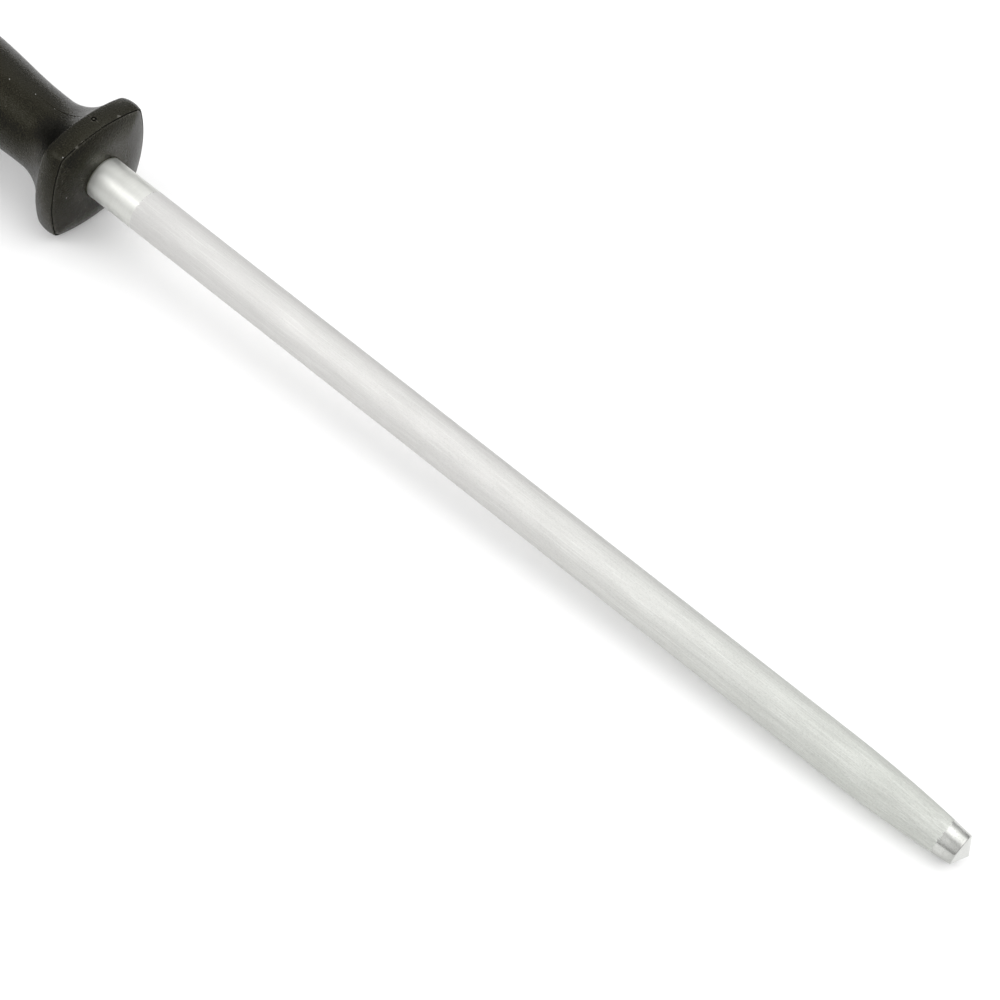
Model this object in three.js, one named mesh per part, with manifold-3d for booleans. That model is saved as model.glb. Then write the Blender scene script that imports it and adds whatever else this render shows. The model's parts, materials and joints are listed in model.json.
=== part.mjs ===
// A butcher's round sharpening steel, lying at rest on a level surface.
//
// The steel leans on two points: the crown of the guard's lower side and the rod where it tapers.
// Every piece is built along the tool's own axis, x, with x = 0 in the plane of the guard's front
// edge, the tip towards +x and the butt towards -x. The finished tool is then tipped nose down
// and moved so that the origin is under the centre of its box. Millimetres, +z up.

import * as THREE from 'three';
import { mergeVertices } from 'three/addons/utils/BufferGeometryUtils.js';
import Module from 'manifold-3d';

const wasm = await Module();
wasm.setup();

// ---------------------------------------------------------------- driving dimensions

const fitGap = 0.3; // between the tang and its socket

const rodRadius = 6.5;
const taperStart = 262; // where the rod starts to narrow
const shoulderStation = 301; // end of the rod's side, where its blunt point starts
const shoulderRadius = 4.5;
const pointLength = 2.4;

const rodSeatDepth = 12; // how far the full round of the rod enters the handle
const tangLength = 86;
const tangWidthAtRod = 8.4;
const tangWidthAtEnd = 6;
const tangSpareDepth = 2; // empty socket behind the tang's end

const guardHalfWidth = 18.15; // at the middle of a side of the front edge
const guardHalfWidthBack = 18.1;
const guardSideRadius = 46; // the sides bulge
const guardCornerRadius = 3;
const guardCornerRadiusBack = 5;
const guardRim = 5.9;
const guardCrown = 0.5; // the rim stands this far out halfway between its front and back edges
const guardDome = 2.2; // the face's centre stands this far in front of its edge
const guardSeatRadius = 10; // flat ring around the rod

const neckStation = -20;
const neckRadius = 11.5;
const bellyStation = -64; // the grip's thickest part
const bellyRadius = 13.7;
const waistStation = -97;
const waistRadius = 12.2;
const buttStation = -131;
const buttRadius = 13.5;
const buttRound = 5;
const evenLead = 0.4; // how long the grip's outline stays level at the ends of its curves
const slowLead = 0.6;

const eyeStation = -121; // hanging hole, across the handle
const eyeRadius = 3;
const eyeMouthRadius = 4;
const eyeMouthDepth = 1;
const cheekHalfWidth = 6.5; // flats on both sides of the hole
const cheekStart = -111;
const cheekSweep = 9;

const ringRadius = 16; // to the middle of the wire
const ringWireRadius = 1.6;
const ringSeatShift = 0.6; // the curved wire is centred in the straight hole
const ringGap = 0.4; // where the bent wire's ends meet
const ringGapAngle = THREE.MathUtils.degToRad(52); // round from the far side of the ring

const guardSides = 72;
const rodSides = 64;
const taperSteps = 8;
const swellSteps = 5;
const ringSteps = 60;
const wireSides = 12;

// ---------------------------------------------------------------- resting position

// The rod's outline as [radius, station] pairs, from its seat in the handle to its point.
function rodProfile() {
  const profile = [
    [0, -rodSeatDepth],
    [rodRadius, -rodSeatDepth],
    [rodRadius, taperStart],
  ];
  for (let i = 1; i <= taperSteps; i += 1) {
    const along = i / taperSteps;
    const radius = rodRadius - (rodRadius - shoulderRadius) * along ** 2;
    profile.push([radius, taperStart + (shoulderStation - taperStart) * along]);
  }
  profile.push([0, shoulderStation + pointLength]);
  return profile;
}

const crownStation = -guardRim / 2;
const crownHalfWidth = (guardHalfWidth + guardHalfWidthBack) / 2 + guardCrown;

// The slope at which the tool, standing on its guard, first touches the surface with its rod.
function restSlope() {
  const ahead = rodProfile().filter(([, station]) => station >= taperStart);
  const slopes = ahead.map(([radius, station]) => (crownHalfWidth - radius) / (station - crownStation));
  return Math.min(...slopes);
}

const pitch = Math.atan(restSlope());
const axisHeightAtGuard = crownHalfWidth * Math.cos(pitch) + crownStation * Math.sin(pitch);
const eyeHeight = axisHeightAtGuard - eyeStation * Math.sin(pitch);

// The ring hangs back and down from its hole until its far side lies on the surface.
const ringReach = 2 * ringRadius - ringSeatShift;
const ringFromVertical = Math.acos((eyeHeight - ringWireRadius) / ringReach);
const ringHang = Math.PI / 2 - ringFromVertical + pitch;

// ---------------------------------------------------------------- materials

const materials = {
  steel: new THREE.MeshStandardMaterial({ color: 0xcfd0cf, roughness: 0.35, metalness: 1 }),
  plastic: new THREE.MeshStandardMaterial({ color: 0x24231f, roughness: 0.6, metalness: 0 }),
  wire: new THREE.MeshStandardMaterial({ color: 0xc4c6c8, roughness: 0.2, metalness: 1 }),
};

// ---------------------------------------------------------------- geometry helpers

// A closed geometry as a manifold solid.
function solid(geometry) {
  const bare = geometry.clone();
  bare.deleteAttribute('normal');
  bare.deleteAttribute('uv');
  const merged = mergeVertices(bare, 1e-4);
  const vertProperties = new Float32Array(merged.attributes.position.array);
  const triVerts = new Uint32Array(merged.index.array);
  return new wasm.Manifold(new wasm.Mesh({ numProp: 3, vertProperties, triVerts }));
}

// A manifold solid as a geometry.
function geometryOf(body) {
  const mesh = body.getMesh();
  const geometry = new THREE.BufferGeometry();
  geometry.setAttribute('position', new THREE.BufferAttribute(mesh.vertProperties, 3));
  geometry.setIndex(new THREE.BufferAttribute(mesh.triVerts, 1));
  geometry.computeVertexNormals();
  return geometry;
}

// A profile of [radius, station] pairs turned about the x axis.
function turned(profile, sides) {
  const points = profile.map(([radius, station]) => new THREE.Vector2(radius, station));
  return new THREE.LatheGeometry(points, sides).rotateZ(-Math.PI / 2);
}

// A skin over rings of equal length, running from -x to +x, with a flat cap on each end.
function loft(rings) {
  const count = rings[0].length;
  const corners = rings.flat();
  const triangles = [];
  for (let row = 0; row < rings.length - 1; row += 1) {
    for (let i = 0; i < count; i += 1) {
      const next = (i + 1) % count;
      const a = row * count + i;
      const b = row * count + next;
      triangles.push(a, b, a + count, b, b + count, a + count);
    }
  }
  const lastRow = (rings.length - 1) * count;
  for (let i = 1; i < count - 1; i += 1) {
    triangles.push(0, i + 1, i);
    triangles.push(lastRow, lastRow + i, lastRow + i + 1);
  }
  const geometry = new THREE.BufferGeometry().setFromPoints(corners);
  geometry.setIndex(triangles);
  geometry.computeVertexNormals();
  return geometry;
}

// One ring of a loft: a point at each angle, at the distance from the axis that radiusAt gives.
function ring(station, radiusAt) {
  const points = [];
  for (let i = 0; i < guardSides; i += 1) {
    const angle = (2 * Math.PI * i) / guardSides;
    const radius = radiusAt(angle);
    points.push(new THREE.Vector3(station, radius * Math.cos(angle), radius * Math.sin(angle)));
  }
  return points;
}

// Distance from the axis to the edge of a square with bulging sides and rounded corners.
function bulgedSquare(angle, halfWidth, cornerRadius) {
  const quarter = Math.PI / 2;
  const folded = Math.abs(((angle + quarter / 2) % quarter) - quarter / 2);
  const sideCentre = halfWidth - guardSideRadius;
  const spread = guardSideRadius - cornerRadius;
  const cornerCentre = (sideCentre + Math.sqrt(2 * spread ** 2 - sideCentre ** 2)) / 2;
  const sideLean = Math.atan2(cornerCentre, cornerCentre - sideCentre);
  const tangentAngle = Math.atan2(
    guardSideRadius * Math.sin(sideLean),
    sideCentre + guardSideRadius * Math.cos(sideLean),
  );
  if (folded < tangentAngle) {
    const across = sideCentre * Math.sin(folded);
    return sideCentre * Math.cos(folded) + Math.sqrt(guardSideRadius ** 2 - across ** 2);
  }
  const along = cornerCentre * (Math.cos(folded) + Math.sin(folded));
  const across = cornerCentre * (Math.cos(folded) - Math.sin(folded));
  return along + Math.sqrt(cornerRadius ** 2 - across ** 2);
}

function frontEdge(angle) {
  return bulgedSquare(angle, guardHalfWidth, guardCornerRadius);
}

function backEdge(angle) {
  return bulgedSquare(angle, guardHalfWidthBack, guardCornerRadiusBack);
}

// ---------------------------------------------------------------- sharpening rod and tang

// A square spike that narrows towards the butt; grow widens it all round.
function tang(length, grow) {
  const cornerAtRod = (tangWidthAtRod + 2 * grow) * Math.SQRT1_2;
  const cornerAtEnd = (tangWidthAtEnd + 2 * grow) * Math.SQRT1_2;
  const spike = new THREE.CylinderGeometry(cornerAtRod, cornerAtEnd, length, 4);
  return spike
    .rotateY(Math.PI / 4)
    .rotateZ(-Math.PI / 2)
    .translate(-rodSeatDepth - length / 2, 0, 0);
}

function sharpeningRod() {
  const rod = solid(turned(rodProfile(), rodSides));
  return geometryOf(rod.add(solid(tang(tangLength, 0))));
}

// ---------------------------------------------------------------- handle with its guard

// From the flat ring around the rod, over the domed face and the rim, to the guard's back edge.
function guardRings() {
  const rings = [];
  const domeSteps = 5;
  for (let i = 0; i <= domeSteps; i += 1) {
    const out = i / domeSteps;
    rings.push(ring(guardDome * (1 - out ** 2), (angle) => (
      guardSeatRadius + (frontEdge(angle) - guardSeatRadius) * out
    )));
  }
  const rimSteps = 4;
  for (let i = 1; i <= rimSteps; i += 1) {
    const back = i / rimSteps;
    const crown = 4 * guardCrown * back * (1 - back);
    rings.push(ring(-guardRim * back, (angle) => (
      frontEdge(angle) + (backEdge(angle) - frontEdge(angle)) * back + crown
    )));
  }
  return rings;
}

// The hollow sweep from the guard's back edge down to the neck: at each angle, an arc that
// starts on that edge and runs level where it meets the neck.
function flareRings() {
  const rings = [];
  const steps = 7;
  const reach = -guardRim - neckStation;
  for (let i = 1; i <= steps; i += 1) {
    const back = reach * (1 - i / steps);
    rings.push(ring(neckStation + back, (angle) => {
      const drop = backEdge(angle) - neckRadius;
      const sweep = (reach ** 2 + drop ** 2) / (2 * drop);
      return neckRadius + sweep - Math.sqrt(sweep ** 2 - back ** 2);
    }));
  }
  return rings;
}

// An outline from one station and radius to another, level at both ends. Each lead is the share
// of the length over which that end holds the outline level.
function swell(fromStation, fromRadius, toStation, toRadius, leadOut, leadIn) {
  const length = toStation - fromStation;
  const outline = new THREE.CubicBezierCurve(
    new THREE.Vector2(fromStation, fromRadius),
    new THREE.Vector2(fromStation + leadOut * length, fromRadius),
    new THREE.Vector2(toStation - leadIn * length, toRadius),
    new THREE.Vector2(toStation, toRadius),
  );
  return outline.getPoints(swellSteps).slice(1);
}

// The grip swells from the neck to a belly, draws in to a waist and swells again to the butt.
function gripRings() {
  const outline = [
    ...swell(neckStation, neckRadius, bellyStation, bellyRadius, evenLead, slowLead),
    ...swell(bellyStation, bellyRadius, waistStation, waistRadius, evenLead, evenLead),
    ...swell(waistStation, waistRadius, buttStation + buttRound, buttRadius, evenLead, evenLead),
  ];
  return outline.map((point) => ring(point.x, () => point.y));
}

function buttRings() {
  const rings = [];
  const steps = 4;
  for (let i = 1; i <= steps; i += 1) {
    const turn = (Math.PI / 2) * (i / steps);
    const radius = buttRadius - buttRound * (1 - Math.cos(turn));
    rings.push(ring(buttStation + buttRound * (1 - Math.sin(turn)), () => radius));
  }
  return rings;
}

// The space that the rod and tang fill, open at the guard's face.
function socket() {
  const boreDepth = rodSeatDepth + fitGap;
  const bore = turned([
    [0, -boreDepth],
    [rodRadius + fitGap, -boreDepth],
    [rodRadius + fitGap, 2 * guardDome],
    [0, 2 * guardDome],
  ], rodSides);
  return solid(bore).add(solid(tang(tangLength + tangSpareDepth, fitGap)));
}

// The hanging hole, with a widened mouth on both sides.
function eye() {
  const mouthEnd = cheekHalfWidth + eyeMouthDepth;
  const mouthEndRadius = eyeMouthRadius + (eyeMouthRadius - eyeRadius);
  const profile = [
    [0, -mouthEnd],
    [mouthEndRadius, -mouthEnd],
    [eyeRadius, -(cheekHalfWidth - eyeMouthDepth)],
    [eyeRadius, cheekHalfWidth - eyeMouthDepth],
    [mouthEndRadius, mouthEnd],
    [0, mouthEnd],
  ];
  return solid(turned(profile, rodSides).rotateZ(Math.PI / 2).translate(eyeStation, 0, 0));
}

// What is cut away beside the hole on one side: flat by the hole, curving out towards the grip.
function cheekCut(side) {
  const outside = 20;
  const outline = new THREE.Shape();
  outline.moveTo(buttStation - buttRound, cheekHalfWidth);
  outline.lineTo(cheekStart, cheekHalfWidth);
  outline.absarc(cheekStart, cheekHalfWidth + cheekSweep, cheekSweep, -Math.PI / 2, 0, false);
  outline.lineTo(cheekStart + cheekSweep, outside);
  outline.lineTo(buttStation - buttRound, outside);
  outline.closePath();
  const block = new THREE.ExtrudeGeometry(outline, {
    depth: 2 * outside,
    bevelEnabled: false,
    curveSegments: 10,
  }).translate(0, 0, -outside);
  return solid(side > 0 ? block : block.rotateX(Math.PI));
}

function handle() {
  const rings = [...guardRings(), ...flareRings(), ...gripRings(), ...buttRings()];
  const body = solid(loft(rings.reverse()));
  const hollows = [socket(), eye(), cheekCut(1), cheekCut(-1)];
  return geometryOf(hollows.reduce((left, hollow) => left.subtract(hollow), body));
}

// ---------------------------------------------------------------- hanging ring

// Round the ring once, from one end of the bent wire to the other.
class RingCurve extends THREE.Curve {
  getPoint(t, target = new THREE.Vector3()) {
    const opening = ringGap / ringRadius;
    const angle = ringGapAngle + opening / 2 + (2 * Math.PI - opening) * t;
    return target.set(-ringRadius * Math.cos(angle), ringRadius * Math.sin(angle), 0);
  }
}

// The ring's own origin is where it turns: in its plane, by the middle of the wire in the hole.
function hangingRing() {
  const section = new THREE.Shape().absarc(0, 0, ringWireRadius, 0, 2 * Math.PI);
  const wire = new THREE.ExtrudeGeometry(section, {
    extrudePath: new RingCurve(),
    steps: ringSteps,
    curveSegments: wireSides / 2,
    bevelEnabled: false,
  });
  return wire.translate(ringSeatShift - ringRadius, 0, 0);
}

// ---------------------------------------------------------------- assembly

function named(name, geometry, material) {
  const mesh = new THREE.Mesh(geometry, material);
  mesh.name = name;
  return mesh;
}

const tool = new THREE.Group();
tool.rotation.y = pitch;

const wireRing = named('hanging_ring', hangingRing(), materials.wire);
wireRing.position.x = eyeStation;
wireRing.rotation.y = -ringHang;

tool.add(named('sharpening_rod', sharpeningRod(), materials.steel));
tool.add(named('handle', handle(), materials.plastic));
tool.add(wireRing);

const sharpeningSteel = new THREE.Group();
sharpeningSteel.add(tool);
const box = new THREE.Box3().setFromObject(sharpeningSteel, true);
tool.position.set(-(box.min.x + box.max.x) / 2, 0, axisHeightAtGuard);

export default sharpeningSteel;
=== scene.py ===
"""A butcher's round sharpening steel: its ridges, moulding marks and finishes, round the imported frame.

Each piece is shaped in the tool's own millimetres: x runs along the rod with 0 in the plane of the
guard's front edge, y across, z up from the rod's axis. TOOL takes those to the frame's metres.
"""

import json
import math

import bmesh
import bpy
import numpy as np
from mathutils import Matrix, Vector


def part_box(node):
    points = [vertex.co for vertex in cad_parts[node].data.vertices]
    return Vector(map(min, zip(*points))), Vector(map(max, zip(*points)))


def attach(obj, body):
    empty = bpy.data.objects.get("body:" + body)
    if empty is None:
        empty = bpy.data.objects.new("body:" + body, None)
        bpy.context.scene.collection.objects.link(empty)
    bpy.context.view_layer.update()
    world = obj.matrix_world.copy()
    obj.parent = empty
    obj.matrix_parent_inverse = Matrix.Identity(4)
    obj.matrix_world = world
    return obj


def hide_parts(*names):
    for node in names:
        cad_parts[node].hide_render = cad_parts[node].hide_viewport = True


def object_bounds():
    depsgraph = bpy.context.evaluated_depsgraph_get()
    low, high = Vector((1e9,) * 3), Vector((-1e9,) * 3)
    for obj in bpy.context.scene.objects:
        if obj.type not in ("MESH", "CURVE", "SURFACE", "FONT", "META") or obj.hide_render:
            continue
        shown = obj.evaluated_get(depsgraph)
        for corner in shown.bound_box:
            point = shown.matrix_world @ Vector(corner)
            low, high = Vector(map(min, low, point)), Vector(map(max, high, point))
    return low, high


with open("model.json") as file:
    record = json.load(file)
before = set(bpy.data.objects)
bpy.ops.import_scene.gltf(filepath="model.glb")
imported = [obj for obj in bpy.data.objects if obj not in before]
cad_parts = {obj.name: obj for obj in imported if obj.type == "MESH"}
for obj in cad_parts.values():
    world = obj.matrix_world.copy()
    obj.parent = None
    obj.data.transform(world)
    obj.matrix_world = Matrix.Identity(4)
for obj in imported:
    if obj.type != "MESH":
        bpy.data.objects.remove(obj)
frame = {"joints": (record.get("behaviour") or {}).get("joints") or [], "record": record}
CAD_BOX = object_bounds()


# ------------------------------------------------------------------ places taken from the frame

MM = 0.001
EYE_STATION = -121.0  # where the hanging hole crosses the handle


def mount(name):
    """The record's mount of that name."""
    return next(m for m in frame["record"]["mounts"] if m["name"] == name)


def half_width(node):
    """Half of a node's size across the tool, in millimetres."""
    low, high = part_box(node)
    return (high.y - low.y) / 2 / MM


SWING = next(j for j in frame["joints"] if j["name"] == "ring_swing")
EYE = Vector(SWING["pos_m"])
AXIS = Vector(mount("guard_seat")["axis"]).normalized()
ACROSS = Vector(SWING["axis"]).normalized()
ABOVE = AXIS.cross(ACROSS)
ORIGIN = EYE - AXIS * EYE_STATION * MM
TURN = Matrix((AXIS, ACROSS, ABOVE)).transposed()
TOOL = Matrix.Translation(ORIGIN) @ TURN.to_4x4() @ Matrix.Scale(MM, 4)

FACE_STATION = (Vector(mount("guard_seat")["pos_m"]) - ORIGIN).dot(AXIS) / MM
TIP_STATION = (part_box("sharpening_rod")[1].x - ORIGIN.x) / AXIS.x / MM


# ------------------------------------------------------------------ sizes, in millimetres

ROD_RADIUS = half_width("sharpening_rod")
TAPER_START = 262.0
SHOULDER_STATION = TIP_STATION - 2.4  # where the side ends and the blunt point starts
SHOULDER_RADIUS = 4.5
SHOULDER_ROUND = 0.25
POINT_ROUND = 0.5
NOSE_END = 0.03  # the mesh closes this near to the axis
NOSE_SET_BACK = 0.04  # and this far behind the sharp point that its sides make

RIDGES = 144
POINTS_PER_RIDGE = 4
RIDGE_DEPTH = 0.05
RIDGE_START = 19.0  # the collar before it is plain
RIDGE_END = TIP_STATION - 7.9  # and so is the band behind the point
RIDGE_SCATTER = 0.12  # how unevenly the ridges start and end
RIDGE_RAMP = 0.5
RIDGE_SEED = 11

SEAT_STATION = -12.0  # end of the rod's round, inside the handle
SEAT_CHAMFER = 0.5
TANG_END = -98.0
TANG_HALF_AT_ROD = 4.2
TANG_HALF_AT_END = 3.0
FIT_GAP = 0.3
SOCKET_END = TANG_END - 2.0
LIP_GAP = 0.04  # the moulding closes up round the rod at its face
LIP_START = 1.2  # from this far behind the face
LIP_LEVEL = 0.8
LIP_ROUND = 0.12

GUARD_RIM = 5.9
GUARD_CROWN = 0.5  # how far the rim bulges halfway between its front and back edges
GUARD_TAPER = 0.05  # how much less it reaches at the back edge
GUARD_HALF = half_width("handle") - GUARD_CROWN + GUARD_TAPER / 2
GUARD_HALF_BACK = GUARD_HALF - GUARD_TAPER
GUARD_SIDE_RADIUS = 46.0
GUARD_CORNER_RADIUS = 3.0
GUARD_CORNER_RADIUS_BACK = 5.0
GUARD_SEAT_RADIUS = 10.0
SEAT_HOLD = 1.5  # a loop this far inside the seat's edge keeps the flat shaded flat
FRONT_ROUND = 0.14
BACK_ROUND = 0.3
FRONT_CLEAR = 0.6  # the rim's loops stay this far from its front edge
BACK_CLEAR = 0.7  # and this far from its back edge
FLARE_CLEAR = 0.6  # where the flare's loops start behind it
GROOVE_INSET = 0.36  # a witness line of the mould, just inside the face's edge
GROOVE_HALF_WIDTH = 0.2
GROOVE_DEPTH = 0.25

NECK_STATION = -20.0
NECK_RADIUS = 11.5
BELLY_STATION = -64.0
BELLY_RADIUS = 13.7
WAIST_STATION = -97.0
WAIST_RADIUS = 12.2
BUTT_STATION = -131.0
BUTT_RADIUS = 13.5
BUTT_ROUND = 5.0
BUTT_HOLD = 3.0  # and one this far inside the butt's rounding does so for its flat end
EVEN_LEAD = 0.4  # the share of its length over which the grip's outline is drawn level at an end
SLOW_LEAD = 0.6

EYE_RADIUS = 3.0
EYE_MOUTH = 1.0
CHEEK_HALF = 6.5  # flats on both sides of the hole
CHEEK_START = -111.0
CHEEK_SWEEP = 9.0
CHEEK_SOFTNESS = 1.0

SEAM_DEPTH = 0.09  # the fine line where the mould's halves met
SEAM_HALF_WIDTH = 0.13
SEAM_FADE = -28.0  # from the neck to here the line fades out
GATE_STATION = -3.3  # on top of the rim, the round mark of the gate that the plastic came through
GATE_ACROSS = 0.3
GATE_RADIUS = 0.85
GATE_NUB_RADIUS = 0.33
GATE_NUB_SPREAD = 0.06  # how much wider the nub is at its foot
GATE_WALL_SPREAD = 0.2  # and the trough at its mouth
GATE_DEPTH = 0.32
CUTTER_LENGTH = 0.6  # how far the gate's cutter stands out of the rim

WIRE_RADIUS = 1.6
RING_RADIUS = 16.0
RING_GAP = 0.4
RING_GAP_ANGLE = math.radians(52)  # round from the far side of the ring
WIRE_END_ROUND = 0.3

HANDLE_SIDES = 336
EYE_SIDES = 96
GATE_SIDES = 32
WIRE_SIDES = 36
RING_STEPS = 220

SHARP_STEEL_EDGE = 50  # edges that turn by more than this many degrees are shaded sharp
SHARP_PLASTIC_EDGE = 32


# ------------------------------------------------------------------ mesh helpers

def evenly(count):
    """That many angles, evenly round a circle."""
    return np.arange(count) * 2 * math.pi / count


def round_axis(station, radius, angles):
    """One point at each angle, that far along the tool's axis and that far from it."""
    along = np.broadcast_to(station, angles.shape)
    return np.stack([along, radius * np.cos(angles), radius * np.sin(angles)], axis=1)


def skin(name, rings, place=TOOL, looped=False):
    """A closed mesh over rings of as many points each. Looped, the last ring joins the first, and
    otherwise each end has a fan over it."""
    count = len(rings[0])
    here = np.arange(count)
    after = (here + 1) % count
    rows = len(rings) if looped else len(rings) - 1
    faces = []
    for row in range(rows):
        start = row * count
        beyond = (row + 1) % len(rings) * count
        faces += np.stack([start + here, start + after, beyond + after, beyond + here], axis=1).tolist()
    points = np.concatenate(rings)
    if not looped:
        last = (len(rings) - 1) * count
        hub = len(points)
        points = np.concatenate([points, [rings[0].mean(axis=0), rings[-1].mean(axis=0)]])
        faces += [(hub, b, a) for a, b in zip(here.tolist(), after.tolist())]
        faces += [(hub + 1, last + a, last + b) for a, b in zip(here.tolist(), after.tolist())]
    mesh = bpy.data.meshes.new(name)
    mesh.from_pydata(points.tolist(), [], faces)
    mesh.transform(place)
    face_outwards(mesh)
    piece = bpy.data.objects.new(name, mesh)
    bpy.context.scene.collection.objects.link(piece)
    return piece


def face_outwards(mesh):
    """Turns the front of every face outwards."""
    work = bmesh.new()
    work.from_mesh(mesh)
    bmesh.ops.recalc_face_normals(work, faces=work.faces)
    work.to_mesh(mesh)
    work.free()


def shade(piece, sharp_degrees):
    """Smooth, apart from the edges that turn by more than that many degrees."""
    piece.data.shade_smooth()
    piece.data.set_sharp_from_angle(angle=math.radians(sharp_degrees))


def cut(piece, cutter):
    """Takes the cutter's shape out of the piece, and the cutter away."""
    boolean = piece.modifiers.new("cut", "BOOLEAN")
    boolean.object = cutter
    boolean.operation = "DIFFERENCE"
    boolean.solver = "EXACT"
    graph = bpy.context.evaluated_depsgraph_get()
    result = bpy.data.meshes.new_from_object(piece.evaluated_get(graph))
    piece.modifiers.clear()
    old = piece.data
    piece.data = result
    bpy.data.meshes.remove(old)
    bpy.data.objects.remove(cutter)


def corner(before, edge, after, steps=5):
    """(station, radius) pairs that round off an edge: a curve from before to after that the edge pulls."""
    pairs = []
    for t in np.linspace(0, 1, steps):
        first, pull, last = (1 - t) ** 2, 2 * t * (1 - t), t ** 2
        pairs.append([first * b + pull * e + last * a for b, e, a in zip(before, edge, after)])
    return pairs


# ------------------------------------------------------------------ sharpening rod

RIDGED, TURNED, POLISHED, FORGED = range(4)  # the order in which the rod's materials are added


def rod_radius(station):
    """The rod's outer round: straight, then narrowing towards the point."""
    along = max(0.0, (station - TAPER_START) / (SHOULDER_STATION - TAPER_START))
    return ROD_RADIUS - (ROD_RADIUS - SHOULDER_RADIUS) * along ** 2


def squared(angles, half, sharpness=10):
    """Distance from the axis to the side of a square with eased corners."""
    spread = np.abs(np.cos(angles)) ** sharpness + np.abs(np.sin(angles)) ** sharpness
    return half / spread ** (1 / sharpness)


def tang_half(station):
    """Half the tang's thickness, narrowing from the rod's round to its end."""
    along = (station - SEAT_STATION) / (TANG_END - SEAT_STATION)
    return TANG_HALF_AT_ROD + (TANG_HALF_AT_END - TANG_HALF_AT_ROD) * along


def ridge_limits():
    """Where each ridge starts and ends, and how deep it is, at each point round the rod."""
    chance = np.random.default_rng(RIDGE_SEED)
    starts = RIDGE_START + RIDGE_SCATTER * chance.uniform(-1, 1, RIDGES)
    ends = RIDGE_END + 2 * RIDGE_SCATTER * chance.uniform(-1, 1, RIDGES)
    depths = RIDGE_DEPTH * chance.uniform(0.75, 1.0, RIDGES)
    return [np.repeat(each, POINTS_PER_RIDGE) for each in (starts, ends, depths)]


def rod_stations():
    """Close together where the ridges start and end, and along the taper, and far apart elsewhere."""
    scatter = 3 * RIDGE_SCATTER + RIDGE_RAMP
    plain = [SEAT_STATION + 2 * SEAT_CHAMFER, 0, FACE_STATION, RIDGE_START - scatter - 4]
    start = np.linspace(RIDGE_START - scatter, RIDGE_START + scatter, 11)
    straight = np.linspace(RIDGE_START + scatter + 4, TAPER_START, 40)
    taper = np.linspace(TAPER_START + 3, RIDGE_END - scatter - 1, 14)
    end = np.linspace(RIDGE_END - scatter, RIDGE_END + scatter, 15)
    band = np.linspace(RIDGE_END + scatter + 1, SHOULDER_STATION - SHOULDER_ROUND, 4)
    return np.concatenate([plain, start, straight, taper, end, band])


def point_outline():
    """(station, radius) pairs over the shoulder and down the blunt point."""
    slope = SHOULDER_RADIUS / (TIP_STATION - SHOULDER_STATION)
    shoulder_side = SHOULDER_STATION - SHOULDER_ROUND
    before = (shoulder_side, rod_radius(shoulder_side))
    after = (SHOULDER_STATION + SHOULDER_ROUND / slope, SHOULDER_RADIUS - SHOULDER_ROUND)
    outline = corner(before, (SHOULDER_STATION, SHOULDER_RADIUS), after)[1:]
    outline += [(TIP_STATION - radius / slope, radius) for radius in (3.2, 2.2, 1.2)]
    nose = (TIP_STATION - POINT_ROUND / slope, POINT_ROUND)
    outline += corner(nose, (TIP_STATION, 2 * NOSE_END), (TIP_STATION - NOSE_SET_BACK, NOSE_END))
    return outline


def sharpening_rod():
    """One forging: the tang, then the round rod with its ridges, its plain ends and its point."""
    angles = evenly(RIDGES * POINTS_PER_RIDGE)
    wave = 0.5 - 0.5 * np.cos(RIDGES * angles)
    starts, ends, depths = ridge_limits()
    rings = []
    for station in np.linspace(TANG_END, SEAT_STATION - SEAT_CHAMFER, 6):
        rings.append(round_axis(station, squared(angles, tang_half(station)), angles))
    rings.append(round_axis(SEAT_STATION, ROD_RADIUS - SEAT_CHAMFER, angles))
    for station in rod_stations():
        begun = np.clip((station - starts) / RIDGE_RAMP, 0, 1)
        share = begun * np.clip((ends - station) / RIDGE_RAMP, 0, 1)
        rings.append(round_axis(station, rod_radius(station) - depths * share * wave, angles))
    for station, radius in point_outline():
        rings.append(round_axis(station, radius, angles))
    rod = skin("ridged_rod", rings)
    for finish in (ridged_steel(), turned_steel(), polished_steel(), forged_steel()):
        rod.data.materials.append(finish)
    finish_rod_faces(rod, starts, ends)
    shade(rod, SHARP_STEEL_EDGE)
    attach(rod, "steel")
    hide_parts("sharpening_rod")
    return rod


def finish_rod_faces(rod, starts, ends):
    """Ridged between each ridge's ends, turned on the collar, polished by the tip, forged in the handle.
    The few faces past RIDGE_START whose own ridge starts a little later are polished too."""
    to_tool = TOOL.inverted()
    for face in rod.data.polygons:
        station, y, z = to_tool @ face.center
        turn = math.atan2(z, y) % (2 * math.pi)
        ridge = int(turn / (2 * math.pi) * len(starts)) % len(starts)
        if starts[ridge] < station < ends[ridge]:
            face.material_index = RIDGED
        elif station > RIDGE_START:
            face.material_index = POLISHED
        elif station > SEAT_STATION:
            face.material_index = TURNED
        else:
            face.material_index = FORGED


# ------------------------------------------------------------------ handle with its guard

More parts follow.
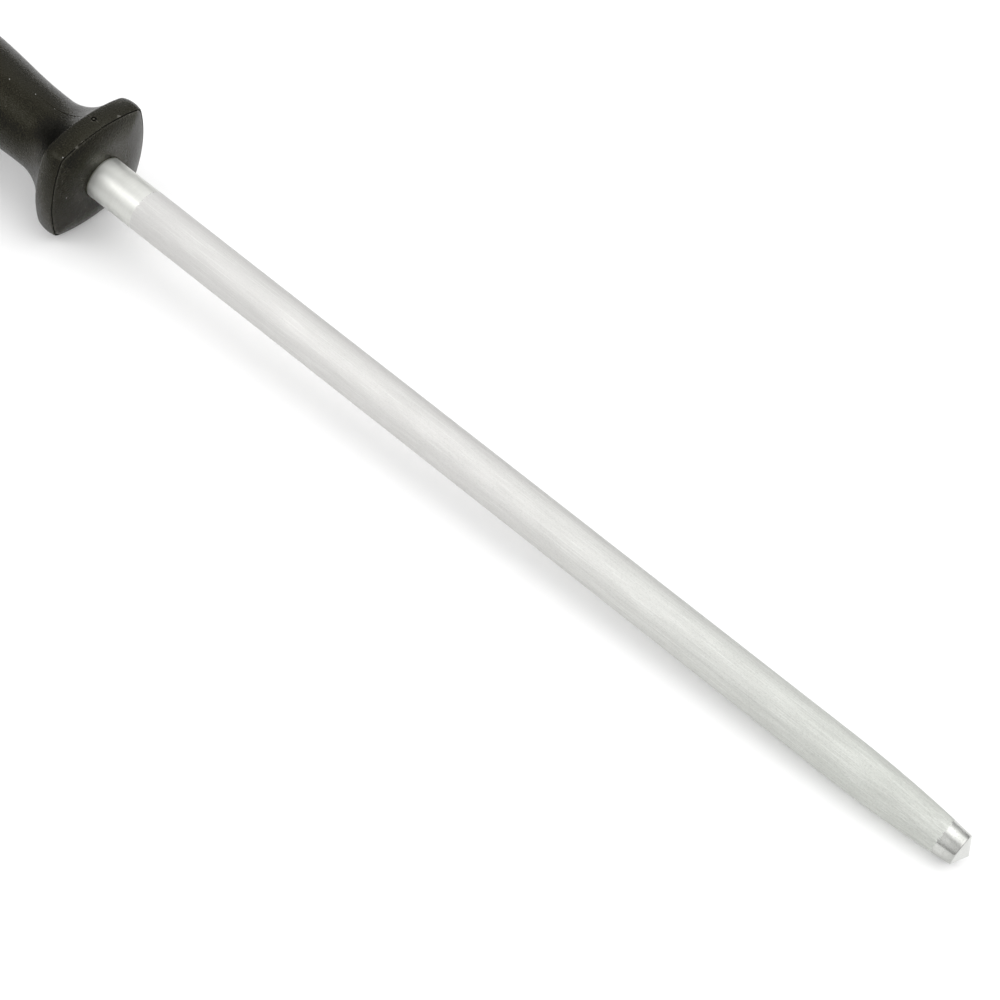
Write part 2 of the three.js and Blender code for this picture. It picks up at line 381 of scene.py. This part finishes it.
def bulged_square(angles, half, corner_radius):
    """Distance from the axis to the edge of a square with bulging sides and rounded corners."""
    quarter = math.pi / 2
    folded = np.abs((angles + quarter / 2) % quarter - quarter / 2)
    side_centre = half - GUARD_SIDE_RADIUS
    spread = GUARD_SIDE_RADIUS - corner_radius
    corner_centre = (side_centre + math.sqrt(2 * spread ** 2 - side_centre ** 2)) / 2
    lean = math.atan2(corner_centre, corner_centre - side_centre)
    meeting_out = side_centre + GUARD_SIDE_RADIUS * math.cos(lean)
    tangent = math.atan2(GUARD_SIDE_RADIUS * math.sin(lean), meeting_out)
    side_across = side_centre * np.sin(folded)
    side = side_centre * np.cos(folded) + np.sqrt(GUARD_SIDE_RADIUS ** 2 - side_across ** 2)
    along = corner_centre * (np.cos(folded) + np.sin(folded))
    across = corner_centre * (np.cos(folded) - np.sin(folded))
    rounded = along + np.sqrt(np.maximum(corner_radius ** 2 - across ** 2, 0))
    return np.where(folded < tangent, side, rounded)


def handle_angles():
    """Even round the handle, and closer together by the mould's seam above and below."""
    seam = np.radians([-1.0, -0.5, -0.25, 0.0, 0.25, 0.5, 1.0])
    even = evenly(HANDLE_SIDES) + math.radians(0.5)
    near = [math.pi / 2 + seam, 3 * math.pi / 2 + seam]
    clear = [a for a in even if min(abs(a - math.pi / 2), abs(a - 3 * math.pi / 2)) > math.radians(1.3)]
    return np.sort(np.concatenate([clear, *near]) % (2 * math.pi))


def socket_outline(angles):
    """The hollow for the tang and the rod, from its blind end to the face."""
    outline = []
    for station in np.linspace(SOCKET_END, SEAT_STATION - FIT_GAP, 4):
        outline.append((station, squared(angles, tang_half(max(station, TANG_END)) + FIT_GAP)))
    bore = ROD_RADIUS + FIT_GAP
    lip = ROD_RADIUS + LIP_GAP
    outline += [(SEAT_STATION - FIT_GAP, bore), (FACE_STATION - LIP_START, bore)]
    outline.append((FACE_STATION - LIP_LEVEL, lip))
    mouth = (FACE_STATION, lip)
    outline += corner((FACE_STATION - LIP_ROUND, lip), mouth, (FACE_STATION, lip + LIP_ROUND), 4)
    return outline


def face_station(radius, edge):
    """How far forward the guard's face stands: flat round the rod, then falling to its edge."""
    out = (radius - GUARD_SEAT_RADIUS) / (edge - GUARD_SEAT_RADIUS)
    return FACE_STATION * (1 - np.clip(out, 0, 1) ** 2)


def face_outline(edge):
    """The guard's face, out to the mould's witness line."""
    outline = [(FACE_STATION, GUARD_SEAT_RADIUS - SEAT_HOLD), (FACE_STATION, GUARD_SEAT_RADIUS)]
    for out in np.linspace(0.1, 0.9, 9):
        radius = GUARD_SEAT_RADIUS + (edge - GUARD_SEAT_RADIUS) * out
        outline.append((face_station(radius, edge), radius))
    for side, depth in ((1.0, 0), (0.5, GROOVE_DEPTH), (-0.5, GROOVE_DEPTH), (-1.0, 0)):
        radius = edge - GROOVE_INSET - side * GROOVE_HALF_WIDTH
        outline.append((face_station(radius, edge) - depth, radius))
    return outline


def rim_outline(edge, edge_back):
    """Over the rounded front edge, back along the crowned rim and over its back edge."""
    def rim(station):
        back = station / -GUARD_RIM
        return (station, edge + (edge_back - edge) * back + 4 * GUARD_CROWN * back * (1 - back))

    before = (face_station(edge - FRONT_ROUND, edge), edge - FRONT_ROUND)
    outline = corner(before, rim(0), rim(-FRONT_ROUND))
    outline += [rim(station) for station in np.linspace(-FRONT_CLEAR, BACK_CLEAR - GUARD_RIM, 8)]
    behind = -GUARD_RIM - BACK_ROUND * 0.6
    flare = (behind, flare_radius(behind, edge_back))
    outline += corner(rim(BACK_ROUND - GUARD_RIM), rim(-GUARD_RIM), flare)
    return outline


def flare_radius(station, edge_back):
    """The hollow sweep from the guard's back edge down to the neck, level where it meets the neck."""
    reach = -GUARD_RIM - NECK_STATION
    drop = edge_back - NECK_RADIUS
    sweep = (reach ** 2 + drop ** 2) / (2 * drop)
    return NECK_RADIUS + sweep - np.sqrt(sweep ** 2 - (station - NECK_STATION) ** 2)


def swell(start, end, lead_out, lead_in, steps=16):
    """(station, radius) pairs from one to another, level at both ends for those shares of the length."""
    (from_station, from_radius), (to_station, to_radius) = start, end
    length = to_station - from_station
    pulls = [from_station, from_station + lead_out * length, to_station - lead_in * length, to_station]
    outline = []
    for t in np.linspace(0, 1, steps + 1)[1:]:
        weights = [(1 - t) ** 3, 3 * (1 - t) ** 2 * t, 3 * (1 - t) * t ** 2, t ** 3]
        station = sum(w * pull for w, pull in zip(weights, pulls))
        radius = (weights[0] + weights[1]) * from_radius + (weights[2] + weights[3]) * to_radius
        outline.append((station, radius))
    return outline


def grip_outline():
    """(station, radius) pairs from the neck over the belly and the waist to the rounded butt."""
    neck = (NECK_STATION, NECK_RADIUS)
    belly = (BELLY_STATION, BELLY_RADIUS)
    waist = (WAIST_STATION, WAIST_RADIUS)
    butt = (BUTT_STATION + BUTT_ROUND, BUTT_RADIUS)
    outline = swell(neck, belly, EVEN_LEAD, SLOW_LEAD)
    outline += swell(belly, waist, EVEN_LEAD, EVEN_LEAD)
    outline += swell(waist, butt, EVEN_LEAD, EVEN_LEAD, 26)
    for turn in np.linspace(0, math.pi / 2, 10)[1:]:
        station = BUTT_STATION + BUTT_ROUND * (1 - math.sin(turn))
        outline.append((station, BUTT_RADIUS - BUTT_ROUND * (1 - math.cos(turn))))
    outline.append((BUTT_STATION, BUTT_RADIUS - BUTT_ROUND - BUTT_HOLD))
    return outline


def cheek_half(station):
    """Half the handle's width at the flats by the hanging hole, which sweep out towards the grip."""
    past = station - CHEEK_START
    if past <= 0:
        return CHEEK_HALF
    if past >= CHEEK_SWEEP:
        return None
    return CHEEK_HALF + CHEEK_SWEEP - math.sqrt(CHEEK_SWEEP ** 2 - past ** 2)


def flattened(station, radius, angles):
    """The round grip with its sides taken down to the cheeks, the edges between them eased."""
    half = cheek_half(station)
    if half is None:
        return radius
    flat = half / np.maximum(np.abs(np.cos(angles)), 1e-3)
    share = np.clip(0.5 + (flat - radius) / (2 * CHEEK_SOFTNESS), 0, 1)
    return flat + (radius - flat) * share - CHEEK_SOFTNESS * share * (1 - share)


def seam_depth(station, radius, angles):
    """The fine sunk line where the mould's halves met, above and below the guard and the neck."""
    from_seam = np.minimum(np.abs(angles - math.pi / 2), np.abs(angles - 3 * math.pi / 2)) * radius
    left = np.clip((station - SEAM_FADE) / (NECK_STATION - SEAM_FADE), 0, 1)
    return SEAM_DEPTH * left * np.exp(-((from_seam / SEAM_HALF_WIDTH) ** 2))


def turned(name, outline, sides, place):
    """A closed outline of (along, radius) pairs turned about the x axis of its place."""
    angles = evenly(sides)
    return skin(name, [round_axis(along, radius, angles) for along, radius in outline], place)


def eye_cutter():
    """The hanging hole, across the handle, with a rounded mouth on each side."""
    inner = CHEEK_HALF - EYE_MOUTH
    mouth = []
    for turn in np.linspace(0, math.pi / 2, 8):
        mouth.append((inner + EYE_MOUTH * math.sin(turn), EYE_RADIUS + EYE_MOUTH * (1 - math.cos(turn))))
    side = [(0, EYE_RADIUS), *mouth, (CHEEK_HALF + 2, EYE_RADIUS + EYE_MOUTH)]
    outline = [(-along, radius) for along, radius in side[:0:-1]] + side
    across = Matrix.Translation((EYE_STATION, 0, 0)) @ Matrix.Rotation(math.pi / 2, 4, "Z")
    return turned("eye_cutter", outline, EYE_SIDES, TOOL @ across)


def gate_cutter():
    """A round trough on top of the rim, which leaves the stub of the moulding's gate in its middle."""
    outline = [
        (CUTTER_LENGTH, GATE_NUB_RADIUS),
        (0.0, GATE_NUB_RADIUS),
        (-GATE_DEPTH, GATE_NUB_RADIUS + GATE_NUB_SPREAD),
        (-GATE_DEPTH, GATE_RADIUS - GATE_WALL_SPREAD),
        (0.0, GATE_RADIUS),
        (CUTTER_LENGTH, GATE_RADIUS),
    ]
    back = -GATE_STATION / GUARD_RIM
    height = GUARD_HALF - GUARD_TAPER * back + 4 * GUARD_CROWN * back * (1 - back)
    place = Matrix.Translation((GATE_STATION, GATE_ACROSS, height)) @ Matrix.Rotation(-math.pi / 2, 4, "Y")
    angles = evenly(GATE_SIDES)
    rings = [round_axis(along, radius, angles) for along, radius in outline]
    return skin("gate_cutter", rings, TOOL @ place, looped=True)


def handle():
    """One moulding: socket, guard, neck and grip, with the hanging hole and the gate's mark cut in it."""
    angles = handle_angles()
    edge = bulged_square(angles, GUARD_HALF, GUARD_CORNER_RADIUS)
    edge_back = bulged_square(angles, GUARD_HALF_BACK, GUARD_CORNER_RADIUS_BACK)
    rings = [round_axis(station, radius, angles) for station, radius in socket_outline(angles)]
    rings += [round_axis(station, radius, angles) for station, radius in face_outline(edge)]
    outside = rim_outline(edge, edge_back)
    for station in np.linspace(-GUARD_RIM - FLARE_CLEAR, NECK_STATION, 16):
        outside.append((station, flare_radius(station, edge_back)))
    outside += grip_outline()
    for station, radius in outside:
        low = np.min(station)
        radius = flattened(low, radius, angles) - seam_depth(low, radius, angles)
        rings.append(round_axis(station, radius, angles))
    grip = skin("moulded_handle", rings)
    cut(grip, eye_cutter())
    cut(grip, gate_cutter())
    grip.data.materials.clear()
    grip.data.materials.append(moulded_plastic())
    shade(grip, SHARP_PLASTIC_EDGE)
    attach(grip, "steel")
    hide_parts("handle")
    return grip


# ------------------------------------------------------------------ hanging ring

def hanging_ring():
    """Round wire bent to a ring, its ends butted together with a hairline between them."""
    low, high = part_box("hanging_ring")
    centre = Vector(((low.x + high.x) / 2, EYE.y, (low.z + high.z) / 2))
    outwards = (centre - EYE).normalized()
    normal = outwards.cross(ACROSS)
    place = Matrix.Translation(centre) @ Matrix((outwards, ACROSS, normal)).transposed().to_4x4()
    place = place @ Matrix.Scale(MM, 4)
    length = 2 * math.pi * RING_RADIUS - RING_GAP
    turns = np.radians([90, 60, 30, 0])
    from_end = WIRE_END_ROUND * (1 - np.sin(turns))
    end_radius = WIRE_RADIUS - WIRE_END_ROUND * (1 - np.cos(turns))
    middle = np.linspace(1, length - 1, RING_STEPS)
    along = np.concatenate([from_end, middle, length - from_end[::-1]])
    radii = np.concatenate([end_radius, np.full(len(middle), WIRE_RADIUS), end_radius[::-1]])
    around = evenly(WIRE_SIDES)
    rings = []
    for distance, radius in zip(along, radii):
        turn = RING_GAP_ANGLE + (RING_GAP / 2 + distance) / RING_RADIUS
        reach = RING_RADIUS + radius * np.cos(around)
        points = [reach * math.cos(turn), reach * math.sin(turn), radius * np.sin(around)]
        rings.append(np.stack(points, axis=1))
    ring = skin("wire_ring", rings, place)
    ring.data.materials.append(drawn_wire())
    shade(ring, SHARP_STEEL_EDGE)
    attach(ring, "ring")
    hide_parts("hanging_ring")
    return ring


# ------------------------------------------------------------------ materials

# Grains are in millimetres along, across and up from the rod, and stations in millimetres too.
# Colours are linear, and roughness and shares run from 0 to 1.

def node(tree, kind, inputs, **settings):
    """A new node, with its settings made and each input given a value or joined to an output."""
    made = tree.nodes.new(kind)
    for key, value in settings.items():
        setattr(made, key, value)
    for key, value in inputs.items():
        if isinstance(value, bpy.types.NodeSocket):
            tree.links.new(value, made.inputs[key])
        else:
            made.inputs[key].default_value = value
    return made


def material(name, **sockets):
    """A material, its node tree and its shader, with those sockets set by their plain names."""
    made = bpy.data.materials.new(name)
    made.use_nodes = True
    shader = made.node_tree.nodes["Principled BSDF"]
    for key, value in sockets.items():
        shader.inputs[key.replace("_", " ").title().replace("Ior", "IOR")].default_value = value
    return made, made.node_tree, shader


def tool_millimetres(tree):
    """Where a point is in the tool's own millimetres, so that patterns follow the rod."""
    place = tree.nodes.new("ShaderNodeTexCoord").outputs["Object"]
    inputs = {"Vector": place, "Location": ORIGIN, "Rotation": TURN.to_euler(), "Scale": (MM, MM, MM)}
    return node(tree, "ShaderNodeMapping", inputs, vector_type="TEXTURE").outputs["Vector"]


def noise(tree, place, grain, detail=2.0, rough=0.5):
    """Noise from 0 to 1 whose features are about grain millimetres long on each axis."""
    stretch = [1 / size for size in grain]
    scaled = node(tree, "ShaderNodeVectorMath", {0: place, 1: stretch}, operation="MULTIPLY").outputs[0]
    inputs = {"Vector": scaled, "Scale": 1.0, "Detail": detail, "Roughness": rough}
    return node(tree, "ShaderNodeTexNoise", inputs, noise_dimensions="3D").outputs["Fac"]


def ranged(tree, value, low, high, to_low, to_high):
    """The value's range from low to high, stretched to another and held at its ends."""
    inputs = {"Value": value, "From Min": low, "From Max": high, "To Min": to_low, "To Max": to_high}
    return node(tree, "ShaderNodeMapRange", inputs).outputs["Result"]


def blended(tree, share, first, second):
    """A colour between two, by share."""
    inputs = {0: share, 6: first, 7: second}
    return node(tree, "ShaderNodeMix", inputs, data_type="RGBA").outputs[2]


def mixed(tree, pattern, low, high, first, second, most=1.0):
    """The first colour where the pattern is at low, and up to most of the second where it is at high."""
    return blended(tree, ranged(tree, pattern, low, high, 0, most), first, second)


def station_of(tree, place):
    """How far along the tool a point is, in millimetres."""
    return node(tree, "ShaderNodeSeparateXYZ", {"Vector": place}).outputs["X"]


def bump(tree, height, depth, normal=None):
    """Raises the surface by up to depth millimetres."""
    inputs = {"Height": height, "Strength": 1.0, "Distance": depth * MM}
    if normal is not None:
        inputs["Normal"] = normal
    return node(tree, "ShaderNodeBump", inputs).outputs["Normal"]


def metal(value, red=1.0, blue=1.0):
    """A near-neutral colour, with its red and blue as shares of its green."""
    return (value * red, value, value * blue, 1.0)


def ridged_steel():
    """Satin chrome over the ridges: fine streaks along the rod, duller by the handle and the tip, and
    a little greener and more pitted towards the tip."""
    made, tree, shader = material("ridged_steel", metallic=1.0)
    place = tool_millimetres(tree)
    station = station_of(tree, place)
    streaks = noise(tree, place, (40, 0.7, 0.7), 3)
    threads = noise(tree, place, (9, 0.35, 0.35), 2)
    hairs = noise(tree, place, (12, 0.22, 0.22), 2)
    grain = noise(tree, place, (0.5, 0.22, 0.22), 3)
    blotches = noise(tree, place, (14, 5, 5))
    streaked = node(tree, "ShaderNodeMath", {0: streaks, 1: threads}, operation="ADD").outputs[0]
    middle = mixed(tree, streaked, 0.7, 1.3, metal(0.605, 1.01, 0.98), metal(0.645, 1.01, 0.98))
    far = mixed(tree, streaked, 0.7, 1.3, metal(0.555, 0.98, 0.95), metal(0.655, 0.98, 0.95))
    aged = mixed(tree, station, 140, 270, middle, far)
    by_handle = ranged(tree, station, RIDGE_START, 80, 1, 0)
    steel = blended(tree, by_handle, aged, metal(0.63, 1.01, 0.985))
    worn = mixed(tree, hairs, 0.52, 0.74, steel, metal(0.8, 0.99, 0.97), most=0.45)
    pits = ranged(tree, grain, 0.5, 0.7, 0, 1)
    towards_tip = ranged(tree, station, 60, 270, 0.12, 0.3)
    pitting = node(tree, "ShaderNodeMath", {0: pits, 1: towards_tip}, operation="MULTIPLY").outputs[0]
    tree.links.new(blended(tree, pitting, worn, metal(0.3, 1.0, 0.96)), shader.inputs["Base Color"])
    satin = ranged(tree, blotches, 0.3, 0.7, 0.5, 0.58)
    by_tip = ranged(tree, station, 200, 280, 0, 1)
    by_ends = node(tree, "ShaderNodeMath", {0: by_handle, 1: by_tip}, operation="ADD").outputs[0]
    duller = {0: by_ends, 1: 0.12, 2: satin}
    roughness = node(tree, "ShaderNodeMath", duller, operation="MULTIPLY_ADD").outputs[0]
    tree.links.new(roughness, shader.inputs["Roughness"])
    fine = bump(tree, grain, 0.03)
    tree.links.new(bump(tree, hairs, 0.02, fine), shader.inputs["Normal"])
    return made


def turned_steel():
    """The plain collar: turned marks round it, a painted highlight that makes it brighter by the handle,
    and darker and browner where it goes in.
    """
    made, tree, shader = material("turned_steel", metallic=1.0)
    place = tool_millimetres(tree)
    station = station_of(tree, place)
    marks = noise(tree, place, (0.22, 12, 12), 3, 0.6)
    scratches = noise(tree, place, (4, 0.3, 0.3), 2)
    smears = noise(tree, place, (5, 2, 2), 3)
    clean = mixed(tree, smears, 0.3, 0.7, metal(0.58, 0.99, 0.95), metal(0.66, 0.995, 0.96))
    scored = mixed(tree, marks, 0.35, 0.65, clean, metal(0.78, 0.995, 0.96), most=0.2)
    # Painted highlight: the collar is coloured brighter near the guard's face, standing in for light it
    # reflects there.
    by_handle = ranged(tree, station, FACE_STATION + 2, FACE_STATION + 8, 1, 0)
    with_painted_highlight = blended(tree, by_handle, scored, metal(0.8, 0.99, 0.96))
    # Darker and browner over the last 0.7 mm before the rod goes into the guard.
    going_in = ranged(tree, station, FACE_STATION, FACE_STATION + 0.7, 0.8, 0)
    darker_where_it_goes_in = blended(tree, going_in, with_painted_highlight, metal(0.2, 1.04, 0.88))
    tree.links.new(darker_where_it_goes_in, shader.inputs["Base Color"])
    tree.links.new(ranged(tree, smears, 0.3, 0.7, 0.4, 0.5), shader.inputs["Roughness"])
    fine = bump(tree, scratches, 0.006)
    tree.links.new(bump(tree, marks, 0.025, fine), shader.inputs["Normal"])
    return made


def polished_steel():
    """The plain band by the point, ground and buffed, with painted shade darkening it towards its
    shoulder, and the clean point.
    """
    made, tree, shader = material("polished_steel", metallic=1.0)
    place = tool_millimetres(tree)
    station = station_of(tree, place)
    turning = noise(tree, place, (0.15, 30, 30), 3)
    smears = noise(tree, place, (3, 1.5, 1.5), 3)
    spots = noise(tree, place, (0.5, 0.5, 0.5), 3)
    steel = mixed(tree, smears, 0.3, 0.7, metal(0.52, 0.99, 0.96), metal(0.6, 0.99, 0.96))
    spotted = mixed(tree, spots, 0.5, 0.7, steel, metal(0.3, 1.0, 0.94), most=0.3)
    # Painted shade: darker towards the shoulder, standing in for a dark reflection there.
    painted_shade_by_shoulder = ranged(tree, station, RIDGE_END + 2, SHOULDER_STATION, 0, 0.32)
    edge_wear_and_shoulder_shade = blended(tree, painted_shade_by_shoulder, spotted, metal(0.2, 1.0, 0.94))
    past_shoulder = ranged(tree, station, SHOULDER_STATION, SHOULDER_STATION + 0.2, 0, 1)
    colour = blended(tree, past_shoulder, edge_wear_and_shoulder_shade, metal(0.62, 0.99, 0.97))
    tree.links.new(colour, shader.inputs["Base Color"])
    tree.links.new(ranged(tree, smears, 0.3, 0.7, 0.2, 0.28), shader.inputs["Roughness"])
    tree.links.new(bump(tree, turning, 0.001), shader.inputs["Normal"])
    return made


def forged_steel():
    """The tang, hidden in the handle: dark forge scale."""
    made, tree, shader = material("forged_steel", metallic=1.0)
    place = tool_millimetres(tree)
    scale = noise(tree, place, (3, 1.2, 1.2), 4)
    steel = mixed(tree, scale, 0.35, 0.65, metal(0.12, 1.05, 0.95), metal(0.3, 1.02, 0.98))
    tree.links.new(steel, shader.inputs["Base Color"])
    tree.links.new(ranged(tree, scale, 0.35, 0.65, 0.75, 0.5), shader.inputs["Roughness"])
    tree.links.new(bump(tree, scale, 0.05), shader.inputs["Normal"])
    return made


def moulded_plastic():
    """Black polypropylene from a spark-eroded mould: pebbled, cloudy, specked, and scuffed at its rim."""
    tint = (1, 0.98, 0.86, 1)
    made, tree, shader = material("moulded_plastic", specular_ior_level=0.42, specular_tint=tint)
    place = tool_millimetres(tree)
    pebbles = noise(tree, place, (0.5, 0.5, 0.5), 3, 0.65)
    clouds = noise(tree, place, (9, 6, 6), 3)
    scuffs = noise(tree, place, (1.5, 1.5, 1.5), 3)
    dark = mixed(tree, clouds, 0.35, 0.65, metal(0.002, 1.1, 0.8), metal(0.004, 1.1, 0.75))
    mottled = mixed(tree, pebbles, 0.54, 0.74, dark, metal(0.022, 1.05, 0.85))
    pointed = node(tree, "ShaderNodeNewGeometry", {}).outputs["Pointiness"]
    edges = ranged(tree, pointed, 0.51, 0.56, 0, 0.8)
    edge_wear_and_shoulder_shade = node(tree, "ShaderNodeMath", {0: edges, 1: scuffs}, operation="MULTIPLY").outputs[0]
    scuffed = blended(tree, edge_wear_and_shoulder_shade, mottled, metal(0.16, 1.02, 0.94))
    specks_per_mm = {0: place, "Scale": 0.22}
    scaled = node(tree, "ShaderNodeVectorMath", specks_per_mm, operation="SCALE").outputs[0]
    cells = node(tree, "ShaderNodeTexVoronoi", {"Vector": scaled, "Scale": 1.0}).outputs["Distance"]
    specks = ranged(tree, cells, 0.025, 0.035, 1, 0)
    tree.links.new(blended(tree, specks, scuffed, metal(0.35)), shader.inputs["Base Color"])
    tree.links.new(ranged(tree, pebbles, 0.35, 0.65, 0.26, 0.42), shader.inputs["Roughness"])
    tree.links.new(bump(tree, pebbles, 0.16), shader.inputs["Normal"])
    return made


def drawn_wire():
    """Bright drawn wire: hairlines round the ring and slight dulling where it has rubbed."""
    made, tree, shader = material("drawn_wire", metallic=1.0)
    place = tool_millimetres(tree)
    rub = noise(tree, place, (3, 3, 3), 3)
    hairs = noise(tree, place, (0.15, 0.15, 0.15), 2)
    tree.links.new(mixed(tree, rub, 0.35, 0.65, metal(0.62), metal(0.72)), shader.inputs["Base Color"])
    tree.links.new(ranged(tree, rub, 0.35, 0.65, 0.3, 0.18), shader.inputs["Roughness"])
    tree.links.new(bump(tree, hairs, 0.002), shader.inputs["Normal"])
    return made


# ------------------------------------------------------------------ studio

VIEW_AZIMUTH = math.radians(29.48)
VIEW_ELEVATION = math.radians(50.86)
VIEW_ROLL = math.radians(12.97)
VIEW_DISTANCE = 0.73454
VIEW_LENS = 100.02
SENSOR_WIDTH = 36
NEAREST_SEEN = 0.01
AIM = (150.8, -1.93, -1.46)  # the middle of the rod, a little to one side of its axis

FLOOR_HALF = 6.0
FLOOR_CLEARANCE = 0.00005  # keeps the floor's face and the steel's apart
FLOOR_WHITE = (0.85, 0.85, 0.85, 1)
FLOOR_GLOW = 0.1  # the table's glow, painted light that lifts the shadows a little

SOFTBOXES = [
    # (azimuth, elevation), inner, outer, strength
    ((125, 54), 12, 46, 1.5),
    ((-34, 48), 4, 22, 2.6),
    ((-6, 38), 8, 40, 0.3),
    ((-34, 12), 4, 30, 0.6),
    ((0, 75), 5, 40, 0.1),
    ((-130, 50), 8, 42, 0.65),
    ((-170, 18), 3, 28, 0.25),
    ((42, 18), 4, 34, 0.4),
]
AMBIENT_LOW = 0.26  # at the horizon
AMBIENT_HIGH = 0.64
AMBIENT_HIGH_FROM = 0.5  # the sine of the elevation from which it is that high
# (linear tone, the tone that it is drawn as)
SHADOW_TONES = [(0.025, 0.007), (0.045, 0.018), (0.07, 0.048), (0.105, 0.105)]
ALL_CHANNELS = 3


def camera():
    """From the front right and above, a little rolled, with most of the grip out of the picture."""
    back = Vector((
        math.sin(VIEW_AZIMUTH) * math.cos(VIEW_ELEVATION),
        -math.cos(VIEW_AZIMUTH) * math.cos(VIEW_ELEVATION),
        math.sin(VIEW_ELEVATION),
    ))
    right = Vector((math.cos(VIEW_AZIMUTH), math.sin(VIEW_AZIMUTH), 0))
    level = Matrix((right, back.cross(right), back)).transposed()
    rolled = level @ Matrix.Rotation(VIEW_ROLL, 3, "Z")
    place = Matrix.Translation(TOOL @ Vector(AIM) + back * VIEW_DISTANCE)
    data = bpy.data.cameras.new("view")
    data.lens = VIEW_LENS
    data.sensor_width = SENSOR_WIDTH
    data.clip_start = NEAREST_SEEN
    seen = bpy.data.objects.new("view", data)
    seen.matrix_world = place @ rolled.to_4x4()
    bpy.context.scene.collection.objects.link(seen)
    bpy.context.scene.camera = seen


def floor():
    """A plain white table just under the tool, which glows a little as painted light."""
    height = CAD_BOX[0].z - FLOOR_CLEARANCE
    signs = ((-1, -1), (1, -1), (1, 1), (-1, 1))
    mesh = bpy.data.meshes.new("floor")
    mesh.from_pydata([(x * FLOOR_HALF, y * FLOOR_HALF, height) for x, y in signs], [], [(0, 1, 2, 3)])
    table = bpy.data.objects.new("floor", mesh)
    bpy.context.scene.collection.objects.link(table)
    made, _, shader = material("white_table", roughness=0.8, emission_strength=FLOOR_GLOW)
    shader.inputs["Base Color"].default_value = FLOOR_WHITE
    shader.inputs["Emission Color"].default_value = (1, 1, 1, 1)
    mesh.materials.append(made)


def towards(azimuth, elevation):
    """A direction in degrees: azimuth 0 is -Y, where a front view stands, and 90 is +X."""
    a, e = math.radians(azimuth), math.radians(elevation)
    return (math.sin(a) * math.cos(e), -math.cos(a) * math.cos(e), math.sin(e))


def softbox(tree, direction, centre, inner, outer, strength):
    """Light from the sky within inner degrees of a centre, fading to none at outer."""
    inputs = {0: direction, 1: towards(*centre)}
    nearness = node(tree, "ShaderNodeVectorMath", inputs, operation="DOT_PRODUCT").outputs["Value"]
    inputs = {
        "Value": nearness,
        "From Min": math.cos(math.radians(outer)),
        "From Max": math.cos(math.radians(inner)),
        "To Min": 0.0,
        "To Max": strength,
    }
    return node(tree, "ShaderNodeMapRange", inputs, interpolation_type="SMOOTHSTEP").outputs["Result"]


def studio():
    """A sky that is dim at the horizon and even above, with the softboxes in it."""
    world = bpy.data.worlds.new("studio")
    bpy.context.scene.world = world
    world.use_nodes = True
    tree = world.node_tree
    direction = tree.nodes.new("ShaderNodeTexCoord").outputs["Generated"]
    height = node(tree, "ShaderNodeSeparateXYZ", {"Vector": direction}).outputs["Z"]
    total = ranged(tree, height, 0, AMBIENT_HIGH_FROM, AMBIENT_LOW, AMBIENT_HIGH)
    for centre, inner, outer, strength in SOFTBOXES:
        light = softbox(tree, direction, centre, inner, outer, strength)
        total = node(tree, "ShaderNodeMath", {0: total, 1: light}, operation="ADD").outputs[0]
    tree.links.new(total, tree.nodes["Background"].inputs["Strength"])
    tree.nodes["Background"].inputs["Color"].default_value = (1, 1, 1, 1)
    darker_shadows()


def darker_shadows():
    """The picture's tones, with the darkest drawn down as a camera does."""
    view = bpy.context.scene.view_settings
    view.view_transform = "Standard"
    view.use_curve_mapping = True
    tones = view.curve_mapping.curves[ALL_CHANNELS]
    for dark, drawn in SHADOW_TONES:
        tones.points.new(dark, drawn).handle_type = "VECTOR"
    view.curve_mapping.update()


camera()
floor()
studio()
sharpening_rod()
handle()
hanging_ring()
